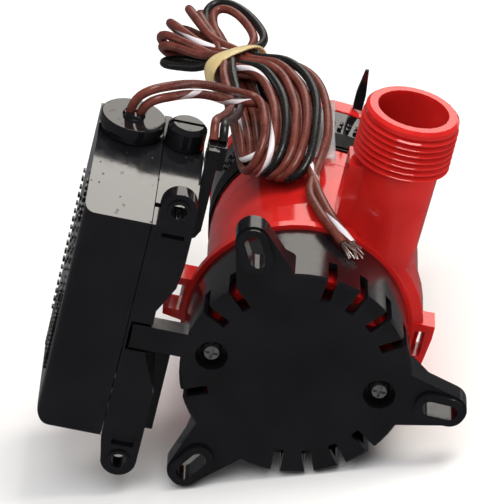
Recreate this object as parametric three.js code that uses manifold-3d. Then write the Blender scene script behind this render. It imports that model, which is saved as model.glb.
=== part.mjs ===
// A submersible bilge pump with its float switch and its hank of leads, lying on its side.
// Every solid is drawn in the pump's own standing frame: z = 0 is the flat foot of the strainer,
// +z runs up the motor, -y runs out of the outlet and -x points across to the float switch.
// layDown() then turns the machine over to rest on an ear, the strainer's rim and the rear cap.
import * as THREE from "three";
import { mergeVertices } from "three/addons/utils/BufferGeometryUtils.js";
import Module from "manifold-3d";

const wasm = await Module();
wasm.setup();

// ---------------------------------------------------------------- driving sizes, mm and degrees
const seatGap = 0.3; // between faces that seat on each other
const runGap = 0.6; // round anything that turns

// strainer
const strainerRadius = 39; // at the foot
const strainerTopRadius = 37.8;
const strainerDepth = 32;
const strainerWall = 2.2;
const strainerFloor = 2.6;
const rimChamfer = 0.9;
const intakeWidth = 3.2;
const intakeInnerRadius = 30;
const intakeRise = 12; // how far a slot climbs the side wall
const intakePitch = 17.2; // degrees between slots

// three slotted ears
const earAngles = [2.3, 122.3, 242.3];
const slotCircleRadius = 50;
const slotWidth = 5.4;
const slotLength = 12.1;
const earEndRadius = 5.9;
const earRootSpread = 17; // half angle that an ear's root takes on the rim
const earThickness = 7.5;
const earRootThickness = 13;
const bossHeight = 1.6;
const bossWall = 2.6;

// base screws
const screwCircleRadius = 29;
const screwAngles = [2.3, 182.3];
const screwHeadRadius = 3.6;
const screwHeadHeight = 2.4;
const screwShankRadius = 1.7;
const screwLength = 15;
const screwRecessRadius = 5.5;
const screwRecessDepth = 4.4;
const screwCupWall = 1.8;

// arm that holds the switch
const armWidth = 9.1;
const armOffset = 2.95;
const armReach = 56.8;
const armThickness = 7;

// pump housing, centred on the motor
const motorX = 5.1; // the motor stands off the strainer's centre, away from the switch
const flangeRadius = 39.4;
const flangeThickness = 3;
const scrollRadius = 38;
const scrollTop = 52.5;
const housingRadius = 36.4;
const housingTop = 82;
const housingWall = 2.6;
const skirtRadius = 33;
const skirtBottom = 9;
const eyeRadius = 11;
const chamberRadius = 30;
const chamberTop = 56;
const chamberFloor = 37.5;

// outlet: G1 male thread
const outletX = 21.6;
const outletZ = 46;
const outletLength = 83;
const outletBore = 24.6;
const outletTubeRadius = 13.7;
const outletRootRadius = 12.4;
const threadRadius = 16.6;
const threadRootRadius = 15.15;
const threadPitch = 2.309;
const threadRidges = 7;
const threadLead = 3.4; // plain collar above the thread
const gussetLeft = 4.6;
const gussetReach = 61;
const gussetThickness = 13;

// side loops on the housing
const loopReach = 46.3;
const loopBar = 2.8;
const loopTop = 8.2;
const loopBottom = 10;
const loopDepth = 9.5;

// motor cartridge
const cartridgeWall = 2.4;
const neckRadius = 33.6;
const ringGroove = 1.4; // depth of the seal's groove
const shoulderHeight = 11.4;
const collarHeight = 26;
const collarRadius = 36.2;
const capThickness = 8.4;
const capRadius = 36.6;
const motorRadius = 27.5;
const canWall = 1.6;
const magnetThickness = 4.5;
const armatureRadius = 19;
const armatureLength = 30;
const commutatorRadius = 7;
const shaftRadius = 2.5;
const impellerRadius = 25;
const impellerHub = 6;
const impellerHeight = 12;
const vaneCount = 6;
const vaneThickness = 2.2;

const magnetSweep = 140;
const bushingRadius = 5;
const bushingLength = 6;
const bellThickness = 5;
const armatureSlots = 10;
const commutatorLength = 8;
const glandOffset = 12;
const tabX = 12.6;
const tabWidth = 3.4;
const tabThickness = 2.4;
const tabReach = 15;
const tabPivotOffset = 1.4;

// float switch
const switchLeft = -81.6;
const switchSeam = -58.6;
const switchRight = -44.8;
const switchWaist = -50.5;
const switchEnd = 37.6; // the end away from the cable
const switchFrontEnd = 46.6; // where the foot face turns into the slope
const switchTop = 60; // the cable end
const slopeRise = 25;
const switchDepth = 50;
const switchWall = 2.2;
const switchCorner = 5;
const footDepth = 19.5;
const lugX = -51.06;
const lugSpacing = 99.4;
const lugLow = 46; // the lower lug's distance below the pump's centre line
const lugRadius = 6.1;
const lugBore = 5.5;
const lugThickness = 6;
const lugRingRadius = 3.9;
const lugRingHeight = 0.9;
const waistTop = 14;
const waistBottom = 24;
const bracketRight = -40.5;
const bracketThickness = 3;
const cableCapRadius = 11;
const cableCapHeight = 3.4;
const cableCollarRadius = 10;
const cableCollarHeight = 2.6;
const cableCapZ = 35;
const knobRadius = 6.7;
const knobHeight = 8;
const knobX = -51.8;
const knobZ = 33;
const floatLength = 46;
const floatHeight = 22;
const floatClearance = 1.2;
const floatPinRadius = 1.5;
const floatPivotS = 33; // how far the pivot is towards the cable end
const floatPivotZ = 15;
const floatPivotEar = 5;
const partitionAt = 41;
const leftDraft = 1.2;
const frontRound = 3.5;
const coverThickness = 2.4;
const knobBlockDepth = 43;
const pocketGap = 1;
const bracketEnd = 44;
const bracketTop = 67;
const capX = -70.1;
const cableBoreRadius = 4;
const leadDiameter = 2.7;

// hank of leads, measured in the resting frame: x across, y to the rear, z up
const hankLow = 75.9;
const hankHigh = 88.4;
const fanLow = 78;
const loopLow = 80;
const waistCentre = [-4.5, 77.5];
const waistHalf = 9;
const waistHeading = -25.5; // degrees from -y, towards -x is negative
const bandHalf = 4;
const bandWall = 1.4;
const bandGap = 0.4;
const tagSize = [11, 34, 0.6];

// ------------------------------------------------------------------------------- finishes
const finish = (color, roughness, metalness) =>
  new THREE.MeshStandardMaterial({ color, roughness, metalness });
const blackPlastic = finish(0x252427, 0.55, 0);
const glossBlack = finish(0x1c1b1d, 0.25, 0);
const redPlastic = finish(0xd42a24, 0.3, 0);
const steel = finish(0xb9bcc0, 0.3, 1);
const copper = finish(0xb0683a, 0.4, 1);
const brass = finish(0xc09a4e, 0.4, 1);
const ferrite = finish(0x3b3b3f, 0.7, 0.1);
const rubber = finish(0x1d1d1f, 0.8, 0);
const whitePlastic = finish(0xe9e7e2, 0.4, 0);
const greenBoard = finish(0x2c6b3f, 0.5, 0);
const brownWire = finish(0x6b3a34, 0.45, 0);
const blackWire = finish(0x1b1a1d, 0.4, 0);
const greyWire = finish(0xa09a96, 0.45, 0);
const bandRubber = finish(0xe2cf94, 0.5, 0);
const paper = finish(0xe6e4e0, 0.6, 0);

// ------------------------------------------------------------------------------- tools
const radians = Math.PI / 180;

function solid(geometry) {
  const bare = geometry.index ? geometry.toNonIndexed() : geometry.clone();
  bare.deleteAttribute("normal");
  bare.deleteAttribute("uv");
  const merged = mergeVertices(bare, 1e-4);
  const corners = merged.index.array;
  const kept = [];
  for (let i = 0; i < corners.length; i += 3) {
    const [a, b, c] = corners.slice(i, i + 3);
    if (a !== b && b !== c && c !== a) kept.push(a, b, c);
  }
  return new wasm.Manifold(
    new wasm.Mesh({
      numProp: 3,
      vertProperties: merged.attributes.position.array,
      triVerts: new Uint32Array(kept),
    }),
  );
}

function geometryOf(body) {
  const { vertProperties, triVerts } = body.getMesh();
  const geometry = new THREE.BufferGeometry();
  geometry.setAttribute("position", new THREE.BufferAttribute(new Float32Array(vertProperties), 3));
  geometry.setIndex(new THREE.BufferAttribute(new Uint32Array(triVerts), 1));
  return geometry;
}

const join = (first, ...others) =>
  geometryOf(others.reduce((body, next) => body.add(solid(next)), solid(first)));
const cut = (first, ...tools) =>
  geometryOf(tools.reduce((body, tool) => body.subtract(solid(tool)), solid(first)));
const common = (first, second) => geometryOf(solid(first).intersect(solid(second)));

// A solid of revolution about z from a list of [radius, height], from the bottom up its outside.
function revolve(profile, sides = 36) {
  const onAxis = profile[0][0] === 0 && profile.at(-1)[0] === 0;
  const closed = onAxis ? profile : [...profile, profile[0]];
  const points = closed.map(([radius, height]) => new THREE.Vector2(radius, height));
  return new THREE.LatheGeometry(points, sides).rotateX(Math.PI / 2);
}

const rod = (radius, low, high, sides = 20) =>
  revolve([[0, low], [radius, low], [radius, high], [0, high]], sides);
const ring = (outer, inner, low, high, sides = 36) =>
  revolve([[inner, low], [outer, low], [outer, high], [inner, high]], sides);

function block([x0, x1], [y0, y1], [z0, z1]) {
  const box = new THREE.BoxGeometry(x1 - x0, y1 - y0, z1 - z0);
  return box.translate((x0 + x1) / 2, (y0 + y1) / 2, (z0 + z1) / 2);
}

const outline = (points) => new THREE.Shape(points.map(([x, y]) => new THREE.Vector2(x, y)));

function extrude(shape, low, high, curveSegments = 8) {
  const settings = { depth: high - low, bevelEnabled: false, curveSegments };
  return new THREE.ExtrudeGeometry(shape, settings).translate(0, 0, low);
}

// A rounded bar's outline along x, from one end circle's centre to the other.
function obround(from, to, radius) {
  const shape = new THREE.Shape();
  shape.absarc(to, 0, radius, -Math.PI / 2, Math.PI / 2, false);
  shape.absarc(from, 0, radius, Math.PI / 2, Math.PI * 1.5, false);
  return shape;
}

const turned = (geometry, degrees) => geometry.rotateZ(degrees * radians);

const machine = new THREE.Group();

function piece(name, geometry, material, group = machine) {
  const body = geometryOf(solid(geometry)).toNonIndexed();
  body.computeVertexNormals();
  const mesh = new THREE.Mesh(body, material);
  mesh.name = name;
  group.add(mesh);
  return mesh;
}

// ------------------------------------------------------------------------------- strainer
const slotHalfRun = (slotLength - slotWidth) / 2;
const earTipRadius = slotCircleRadius + slotHalfRun;

function ear(angle) {
  const spread = earRootSpread * radians;
  const root = strainerTopRadius - strainerWall / 2;
  const rootPoint = [root * Math.cos(spread), root * Math.sin(spread)];
  const rootRun = [earTipRadius - rootPoint[0], rootPoint[1]];
  const tangent = Math.PI - Math.atan2(rootRun[1], rootRun[0])
    - Math.acos(earEndRadius / Math.hypot(...rootRun));
  const web = new THREE.Shape();
  web.absarc(earTipRadius, 0, earEndRadius, -tangent, tangent, false);
  web.lineTo(rootPoint[0], rootPoint[1]);
  web.lineTo(rootPoint[0], -rootPoint[1]);
  const tip = earTipRadius + earEndRadius;
  const side = outline([
    [root - 3, 0],
    [tip + 1, 0],
    [tip + 1, earThickness],
    [slotCircleRadius - slotLength / 2, earThickness],
    [root + 1.5, earRootThickness],
    [root - 3, earRootThickness],
  ]);
  const wedge = extrude(side, -30, 30).rotateX(Math.PI / 2);
  const boss = extrude(obround(slotCircleRadius - slotHalfRun, earTipRadius, slotWidth / 2 + bossWall),
    -bossHeight, 1);
  return turned(join(common(extrude(web, 0, earRootThickness + 1), wedge), boss), angle);
}

function strainerBase() {
  const cup = revolve([
    [0, 0],
    [strainerRadius - rimChamfer, 0],
    [strainerRadius, rimChamfer],
    [strainerTopRadius, strainerDepth],
    [strainerTopRadius - strainerWall, strainerDepth],
    [strainerRadius - strainerWall, strainerFloor],
    [0, strainerFloor],
  ], 60);
  const wide = strainerRadius - strainerWall / 2;
  const arm = block([-armReach, -wide + 4], [-armOffset - armWidth / 2, -armOffset + armWidth / 2],
    [0, armThickness]);
  const cups = screwAngles.map((angle) =>
    turned(rod(screwRecessRadius + screwCupWall, 0, screwRecessDepth + screwCupWall)
      .translate(screwCircleRadius, 0, 0), angle));
  const body = join(cup, arm, ...earAngles.map(ear), ...cups);
  const recesses = screwAngles.flatMap((angle) => [
    turned(rod(screwRecessRadius, -1, screwRecessDepth).translate(screwCircleRadius, 0, 0), angle),
    turned(rod(screwShankRadius + seatGap, 0, screwRecessDepth + screwCupWall + 1)
      .translate(screwCircleRadius, 0, 0), angle),
  ]);
  const slots = earAngles.map((angle) =>
    turned(extrude(obround(slotCircleRadius - slotHalfRun, earTipRadius, slotWidth / 2),
      -bossHeight - 1, earRootThickness + 1), angle));
  const stepsFrom = { 0: [2, 3, 4, 5], 1: [2, 3, 4, 5], 2: [1, 2, 5] };
  const intakes = earAngles.flatMap((angle, index) =>
    stepsFrom[index].map((step) =>
      turned(block([intakeInnerRadius, strainerRadius + 2], [-intakeWidth / 2, intakeWidth / 2],
        [-1, intakeRise]), angle - step * intakePitch)));
  return cut(body, ...recesses, ...slots, ...intakes);
}

piece("strainer_base", strainerBase(), blackPlastic);

// Pan-head screws that hold the strainer to the housing.
function baseScrew(angle) {
  const seat = screwRecessDepth - seatGap;
  const head = revolve([
    [0, seat - screwHeadHeight],
    [screwHeadRadius * 0.7, seat - screwHeadHeight],
    [screwHeadRadius, seat - screwHeadHeight * 0.45],
    [screwHeadRadius, seat],
    [screwShankRadius, seat],
    [screwShankRadius, seat + screwLength],
    [0, seat + screwLength],
  ], 20);
  const bladeReach = screwHeadRadius * 0.6;
  const crossDepth = [seat - screwHeadHeight - 1, seat - screwHeadHeight + 1.4];
  const blades = [
    block([-bladeReach, bladeReach], [-0.45, 0.45], crossDepth),
    block([-0.45, 0.45], [-bladeReach, bladeReach], crossDepth),
  ];
  return turned(cut(head, ...blades).translate(screwCircleRadius, 0, 0), angle);
}

piece("base_screw_far", baseScrew(screwAngles[0]), steel);
piece("base_screw_near", baseScrew(screwAngles[1]), steel);

// ------------------------------------------------------------------------------- pump housing
const flangeBottom = strainerDepth + seatGap;
const sideways = (shape, x0, x1, curveSegments = 8) =>
  extrude(shape, x0, x1, curveSegments).rotateY(Math.PI / 2).rotateX(Math.PI / 2);
const alongOutlet = (geometry) => geometry.rotateX(Math.PI / 2).translate(outletX, 0, outletZ);

function outletTube() {
  const threadTop = outletLength - threadLead;
  const threadBottom = threadTop - threadPitch * threadRidges;
  const profile = [[0, 6], [outletRootRadius, 6], [outletTubeRadius, threadBottom - 2],
    [outletTubeRadius, threadBottom - 0.2]];
  for (let ridge = 0; ridge < threadRidges; ridge += 1) {
    const low = threadBottom + ridge * threadPitch;
    profile.push([threadRootRadius, low], [threadRadius, low + threadPitch * 0.42],
      [threadRadius, low + threadPitch * 0.58]);
  }
  profile.push([threadRootRadius, threadTop], [threadRadius - 0.5, threadTop + 0.7],
    [threadRadius - 0.5, outletLength - 1.1], [threadRadius - 1.6, outletLength], [0, outletLength]);
  return alongOutlet(revolve(profile, 32));
}

function sideLoop(side) {
  const inner = housingRadius + motorX * side;
  const near = Math.max(inner, chamberRadius) - 3;
  const frame = outline([
    [near, -loopTop],
    [loopReach, -loopTop],
    [loopReach, -loopTop + 5],
    [loopReach - 1.2, loopBottom - 3],
    [near, loopBottom],
  ]);
  const low = flangeBottom + flangeThickness - 0.5;
  const bar = extrude(frame, low, low + loopDepth);
  return side > 0 ? bar : bar.rotateY(Math.PI).translate(0, 0, 2 * low + loopDepth);
}

function loopHole(side) {
  const low = flangeBottom + flangeThickness;
  const inner = flangeRadius + 0.6;
  const edges = [inner * side, (loopReach - loopBar) * side].sort((a, b) => a - b);
  return block(edges, [-loopTop + loopBar, loopBottom - 5.6], [low - 4, low + loopDepth + 1]);
}

function voluteHousing() {
  const sweptBody = revolve([
    [0, chamberFloor - housingWall],
    [flangeRadius - motorX, chamberFloor - housingWall],
    [scrollRadius, flangeBottom + flangeThickness + 1],
    [scrollRadius, scrollTop - 1.2],
    [housingRadius, scrollTop],
    [housingRadius, housingTop],
    [0, housingTop],
  ], 48).translate(motorX, 0, 0);
  const flange = rod(flangeRadius, flangeBottom, flangeBottom + flangeThickness, 48);
  const skirt = rod(skirtRadius, skirtBottom, flangeBottom + 1, 36);
  const gusset = block([gussetLeft, outletX + 2], [-gussetReach, -10],
    [outletZ - gussetThickness / 2, outletZ + gussetThickness / 2]);
  const body = join(sweptBody, flange, skirt, outletTube(), gusset, sideLoop(1), sideLoop(-1));
  const pillars = screwAngles.map((angle) =>
    turned(rod(screwShankRadius + 2.2, screwRecessDepth + screwCupWall + seatGap, flangeBottom)
      .translate(screwCircleRadius, 0, 0), angle));
  const screwHoles = screwAngles.map((angle) =>
    turned(rod(screwShankRadius + seatGap, screwRecessDepth, screwRecessDepth + screwLength + 1)
      .translate(screwCircleRadius, 0, 0), angle));
  const pocket = rod(housingRadius - housingWall, chamberTop, housingTop + 1, 40).translate(motorX, 0, 0);
  const chamber = rod(chamberRadius, chamberFloor, chamberTop + 1, 36).translate(motorX, 0, 0);
  const eye = rod(eyeRadius, skirtBottom, chamberFloor + 1, 24).translate(motorX, 0, 0);
  const basin = rod(skirtRadius - housingWall, skirtBottom - 1, chamberFloor - housingWall, 36);
  const bore = alongOutlet(rod(outletBore / 2, 4, outletLength + 1, 28));
  const open = cut(body, basin, pocket, chamber, eye, bore, loopHole(1), loopHole(-1));
  return cut(join(open, ...pillars), ...screwHoles);
}

piece("pump_housing", voluteHousing(), redPlastic);

// ------------------------------------------------------------------------------- motor cartridge
const cartridgeFront = chamberTop + seatGap;
const pocketRadius = housingRadius - housingWall;
const shoulderBottom = housingTop + seatGap;
const shoulderTop = shoulderBottom + shoulderHeight;
const collarBottom = shoulderTop + seatGap;
const collarTop = collarBottom + collarHeight;
const capBottom = collarTop + seatGap;
const canBottom = cartridgeFront + cartridgeWall + seatGap;
const canInner = motorRadius + seatGap;
const canTop = collarTop - 12;
const centred = (geometry) => geometry.translate(motorX, 0, 0);

piece("cartridge_shell", centred(revolve([
  [shaftRadius + 3.4, cartridgeFront],
  [pocketRadius - seatGap, cartridgeFront],
  [pocketRadius - seatGap, housingTop - 4],
  [pocketRadius - seatGap - ringGroove, housingTop - 3.4],
  [pocketRadius - seatGap - ringGroove, housingTop - 1.4],
  [pocketRadius - seatGap, housingTop - 0.8],
  [pocketRadius - seatGap, shoulderBottom],
  [housingRadius, shoulderBottom],
  [housingRadius - 0.4, shoulderTop - 1],
  [housingRadius - 1.4, shoulderTop],
  [neckRadius, shoulderTop],
  [neckRadius, collarTop],
  [canInner, collarTop],
  [canInner, cartridgeFront + cartridgeWall],
  [shaftRadius + 3.4, cartridgeFront + cartridgeWall],
], 40)), redPlastic);

piece("housing_o_ring", centred(ring(pocketRadius - seatGap, pocketRadius - ringGroove,
  housingTop - 3.1, housingTop - 1.7, 40)), rubber);

piece("lock_collar", centred(ring(collarRadius, neckRadius + seatGap, collarBottom, collarTop, 40)),
  glossBlack);

piece("rear_cap", centred(cut(revolve([
  [0, capBottom - 5],
  [canInner - seatGap, capBottom - 5],
  [canInner - seatGap, capBottom],
  [capRadius, capBottom],
  [capRadius, capBottom + capThickness - 1.6],
  [capRadius - 1.6, capBottom + capThickness],
  [0, capBottom + capThickness],
], 40), rod(4.4, capBottom - 6, capBottom + capThickness + 1, 20).translate(12, 0, 0))), redPlastic);

piece("cable_gland", centred(revolve([
  [1, capBottom - 5.5 - seatGap],
  [5.6, capBottom - 5.5 - seatGap],
  [5.6, capBottom - 5.3],
  [4.1, capBottom - 5.3],
  [4.1, capBottom + capThickness + seatGap],
  [5.6, capBottom + capThickness + seatGap],
  [4.6, capBottom + capThickness + 4],
  [1, capBottom + capThickness + 4],
], 20).translate(glandOffset, 0, 0)), rubber);

// The lever that frees the cartridge: it stands off the rear cap's rim beside the outlet.
const tabRoot = Math.sqrt(capRadius ** 2 - (tabX - motorX - tabWidth / 2) ** 2);
const tabPivotY = -tabRoot - tabPivotOffset;
const tabZ = capBottom + capThickness / 2;
function releaseTab() {
  const half = tabThickness / 2;
  const blade = outline([
    [tabPivotY + 1, tabZ - half],
    [tabPivotY + 1, tabZ + half],
    [tabPivotY - tabReach * 0.5, tabZ + half],
    [tabPivotY - tabReach, tabZ + half * 0.2],
    [tabPivotY - tabReach, tabZ - half * 0.6],
    [tabPivotY - tabReach * 0.5, tabZ - half],
  ]);
  const plan = outline([
    [tabX - tabWidth / 2, tabPivotY + 2],
    [tabX - tabWidth / 2, tabPivotY - tabReach * 0.35],
    [tabX - 0.5, tabPivotY - tabReach - 1],
    [tabX + 0.5, tabPivotY - tabReach - 1],
    [tabX + tabWidth / 2, tabPivotY - tabReach * 0.35],
    [tabX + tabWidth / 2, tabPivotY + 2],
  ]);
  return common(sideways(blade, tabX - tabWidth, tabX + tabWidth), extrude(plan, tabZ - 5, tabZ + 5));
}
piece("release_tab", releaseTab(), glossBlack);

// ------------------------------------------------------------------------------- motor inside
piece("motor_can", centred(revolve([
  [bushingRadius + seatGap, canBottom],
  [motorRadius, canBottom],
  [motorRadius, canTop],
  [motorRadius - canWall, canTop],
  [motorRadius - canWall, canBottom + canWall],
  [bushingRadius + seatGap, canBottom + canWall],
])), steel);

function magnet(middle) {
  const outer = motorRadius - canWall - seatGap;
  const inner = outer - magnetThickness;
  const half = magnetSweep / 2 * radians;
  const arc = new THREE.Shape();
  arc.absarc(0, 0, outer, -half, half, false);
  arc.absarc(0, 0, inner, half, -half, true);
  return centred(turned(extrude(arc, canBottom + 4, canTop - 4, 10), middle));
}
piece("magnet_near", magnet(180), ferrite);
piece("magnet_far", magnet(0), ferrite);

const shaftBottom = chamberFloor + seatGap + 0.5;
const bellBottom = canTop + seatGap;
const bellTop = bellBottom + bellThickness;
piece("front_bushing", centred(ring(bushingRadius, shaftRadius + runGap / 2, canBottom,
  canBottom + bushingLength, 20)), brass);
piece("motor_end_bell", centred(revolve([
  [bushingRadius + seatGap, bellBottom],
  [canInner - seatGap, bellBottom],
  [canInner - seatGap, bellTop],
  [bushingRadius + seatGap, bellTop],
])), blackPlastic);
piece("rear_bushing", centred(ring(bushingRadius, shaftRadius + runGap / 2, bellBottom,
  bellTop, 20)), brass);
piece("shaft_seal", centred(ring(shaftRadius + 3.4 - seatGap, shaftRadius + runGap / 2,
  cartridgeFront, cartridgeFront + cartridgeWall, 20)), rubber);
piece("motor_shaft", centred(rod(shaftRadius, shaftBottom, bellTop - 0.5, 16)), steel);

function armature() {
  const bottom = canBottom + canWall + bushingLength + runGap;
  const stack = rod(armatureRadius, bottom, bottom + armatureLength, armatureSlots * 3);
  const slots = Array.from({ length: armatureSlots }, (_, index) =>
    turned(block([armatureRadius - 6, armatureRadius + 1], [-0.9, 0.9],
      [bottom - 1, bottom + armatureLength + 1]), (index * 360) / armatureSlots));
  return centred(cut(stack, rod(shaftRadius + seatGap, bottom - 1, bottom + armatureLength + 1, 16),
    ...slots));
}
piece("armature", armature(), copper);

const commutatorBottom = bellBottom - runGap - commutatorLength;
piece("commutator", centred(ring(commutatorRadius, shaftRadius + seatGap, commutatorBottom,
  commutatorBottom + commutatorLength, 24)), copper);
for (const [name, side] of [["brush_near", -1], ["brush_far", 1]]) {
  const inner = commutatorRadius + seatGap;
  const reach = [inner * side, (inner + 8) * side].sort((a, b) => a - b);
  piece(name, centred(block(reach, [-2, 2],
    [bellBottom - seatGap - 5, bellBottom - seatGap])), ferrite);
}

function impeller() {
  const top = chamberFloor + runGap * 2 + impellerHeight;
  const bottom = chamberFloor + runGap * 2;
  const plate = rod(impellerRadius, top - 2, top, 36);
  const hub = rod(impellerHub, bottom + 1, top + 1, 20);
  const vanes = Array.from({ length: vaneCount }, (_, index) =>
    turned(turned(block([0, impellerRadius - 7], [-vaneThickness / 2, vaneThickness / 2],
      [bottom, top - 1]), 32).translate(5.2, 0, 0), (index * 360) / vaneCount));
  const wheel = join(plate, hub, ...vanes);
  const trimmed = common(wheel, rod(impellerRadius, bottom, top + 1, 36));
  return centred(cut(trimmed, rod(shaftRadius + seatGap, bottom - 1, top + 2, 16)));
}
piece("impeller", impeller(), whitePlastic);

// ------------------------------------------------------------------------------- float switch
const housingRight = switchSeam - seatGap;
// Side profiles are drawn as [y, z]: -y is the cable end.
const sideProfile = (inset) => outline([
  [switchEnd - inset, inset],
  [switchEnd - inset, switchDepth - inset],
  [-switchTop + inset, switchDepth - inset],
  [-switchTop + inset, slopeRise + inset * 0.4],
  [-switchFrontEnd - inset * 0.2, inset],
]);

function switchHousing() {
  const plan = new THREE.Shape();
  plan.absarc(switchLeft + switchCorner, switchEnd - switchCorner, switchCorner, Math.PI / 2,
    Math.PI, false);
  plan.lineTo(switchLeft, -switchTop - 1);
  plan.lineTo(housingRight, -switchTop - 1);
  plan.lineTo(housingRight, switchEnd);
  const front = new THREE.Shape();
  front.absarc(switchLeft + frontRound, frontRound, frontRound, Math.PI, Math.PI * 1.5, false);
  front.lineTo(housingRight + 1, 0);
  front.lineTo(housingRight + 1, switchDepth);
  front.lineTo(switchLeft + leftDraft, switchDepth);
  const lengthwise = extrude(front, -switchEnd - 1, switchTop + 1).rotateX(Math.PI / 2);
  const shell = common(common(sideways(sideProfile(0), switchLeft, housingRight),
    extrude(plan, -1, switchDepth + 1)), lengthwise);
  const hollow = sideways(sideProfile(switchWall), switchLeft + switchWall + leftDraft,
    housingRight + 1);
  const partition = block([switchLeft + leftDraft + 1, housingRight],
    [-partitionAt - switchWall, -partitionAt], [1, switchDepth - 1]);
  const pinHole = rod(floatPinRadius + seatGap, switchLeft + leftDraft, housingRight + 1, 16)
    .rotateY(Math.PI / 2).translate(0, -floatPivotS, floatPivotZ);
  const cableHole = rod(cableBoreRadius, switchTop - 4, switchTop + 1, 16).rotateX(Math.PI / 2)
    .translate(capX, 0, cableCapZ);
  const water = [0, 1, 2, 3].map((step) =>
    block([switchLeft + 6, housingRight - 4], [switchEnd - 12 - step * 6, switchEnd - 9 - step * 6],
      [switchDepth - 4, switchDepth + 1]));
  return cut(join(cut(shell, hollow), partition), pinHole, cableHole, ...water);
}
piece("switch_housing", switchHousing(), blackPlastic);

const lugUpperY = lugLow - lugSpacing;
function switchCover() {
  const lid = sideways(sideProfile(0), switchSeam, switchSeam + coverThickness);
  const strip = new THREE.Shape();
  strip.absarc(lugX, lugLow, lugRadius, 0, Math.PI, false);
  strip.lineTo(switchSeam, lugLow - 8);
  strip.lineTo(switchSeam, -switchTop);
  strip.lineTo(switchRight, -switchTop);
  strip.lineTo(switchRight, -waistBottom - 9);
  strip.lineTo(switchRight - 1, -waistBottom);
  strip.lineTo(switchWaist, -waistBottom + 10);
  strip.lineTo(switchWaist, waistTop - 10);
  strip.lineTo(switchRight, waistTop + 4);
  const lengthened = outline([
    [lugLow + lugRadius + 1, 0],
    [lugLow + lugRadius + 1, lugThickness],
    [switchEnd + 2, lugThickness],
    [switchEnd - 1, footDepth],
    [-partitionAt + 4, footDepth],
    [-partitionAt + 4, knobBlockDepth],
    [-switchTop, knobBlockDepth],
    [-switchTop, slopeRise],
    [-switchFrontEnd, 0],
  ]);
  const foot = common(extrude(strip, 0, knobBlockDepth + 1, 6),
    sideways(lengthened, switchSeam, switchRight + 1));
  const tongue = new THREE.Shape();
  tongue.absarc(lugX, lugUpperY, lugRadius, Math.PI, Math.PI * 2, false);
  tongue.lineTo(switchRight, -switchFrontEnd + 4);
  tongue.lineTo(switchSeam + 1, -switchFrontEnd + 4);
  const rings = [lugLow, lugUpperY].map((y) =>
    rod(lugRingRadius, -lugRingHeight, 1, 16).translate(lugX, y, 0));
  const holes = [lugLow, lugUpperY].map((y) =>
    rod(lugBore / 2, -2, lugThickness + 1, 16).translate(lugX, y, 0));
  const behindLug = block([switchSeam - 1, switchRight + 1], [lugUpperY - lugRadius - 2,
    lugUpperY + lugRadius], [lugThickness, slopeRise * 0.3]);
  const armPocket = block([-armReach - pocketGap, switchRight + 1],
    [-armOffset - armWidth / 2 - pocketGap, -armOffset + armWidth / 2 + pocketGap],
    [-1, armThickness + seatGap]);
  const grooves = [
    block([lugX - 3.8, lugX + 3.8], [lugUpperY + 9.4, lugUpperY + 11], [-1, 1.6]),
    block([lugX - 3.8, lugX + 3.8], [lugLow - 10, lugLow - 5.7], [-1, 1.6]),
  ];
  const body = join(lid, foot, extrude(tongue, 0, lugThickness, 8), ...rings);
  const pinSocket = rod(floatPinRadius + seatGap, switchSeam - 1, switchSeam + 1.6, 16)
    .rotateY(Math.PI / 2).translate(0, -floatPivotS, floatPivotZ);
  return cut(body, ...holes, ...grooves, armPocket, pinSocket, behindLug);
}
piece("switch_cover", switchCover(), blackPlastic);

const bracketLow = footDepth + seatGap;
piece("switch_bracket", extrude(outline([
  [switchSeam + coverThickness + seatGap, bracketEnd],
  [bracketRight, bracketEnd],
  [bracketRight, waistTop],
  [switchWaist - 1, waistTop - 3],
  [switchWaist - 1, -waistBottom - 5],
  [bracketRight - 1.5, -partitionAt + 8],
  [bracketRight, -partitionAt + 5],
  [bracketRight, -bracketTop],
  [switchRight + seatGap, -bracketTop],
  [switchRight + seatGap, -partitionAt + 4 + seatGap],
  [switchSeam + coverThickness + seatGap, -partitionAt + 4 + seatGap],
]), bracketLow, bracketLow + bracketThickness), blackPlastic);

const towardsCable = (geometry, x, z) => geometry.rotateX(Math.PI / 2).translate(x, 0, z);
const capSeat = switchTop + seatGap;
const cableCapTop = capSeat + cableCollarHeight + cableCapHeight;
const leadOffset = leadDiameter / 2 + seatGap;
function cableCap() {
  const cap = revolve([
    [0, capSeat],
    [cableCollarRadius, capSeat],
    [cableCollarRadius, capSeat + cableCollarHeight],
    [cableCapRadius, capSeat + cableCollarHeight],
    [cableCapRadius, cableCapTop - 0.4],
    [cableCapRadius - 0.4, cableCapTop],
    [3.9, cableCapTop],
    [3.6, cableCapTop + 1.4],
    [0, cableCapTop + 1.4],
  ], 36);
  const bores = [-leadOffset, leadOffset].map((offset) =>
    rod(leadDiameter / 2 + seatGap, capSeat - 1, cableCapTop + 2, 24).translate(offset, 0, 0));
  return towardsCable(cut(cap, ...bores), capX, cableCapZ);
}
piece("cable_cap", cableCap(), glossBlack);

// The knob that lifts the float for a test.
function testKnob() {
  const crown = revolve([
    [0, capSeat],
    [knobRadius, capSeat],
    [knobRadius, capSeat + knobHeight - 1.5],
    [knobRadius - 1.5, capSeat + knobHeight],
    [0, capSeat + knobHeight],
  ], 30);
  const slot = block([-knobRadius - 1, knobRadius + 1], [-0.8, 0.8],
    [capSeat + knobHeight - 1.6, capSeat + knobHeight + 1]);
  return towardsCable(cut(crown, slot), knobX, knobZ);
}
piece("test_knob", testKnob(), glossBlack);

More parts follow.
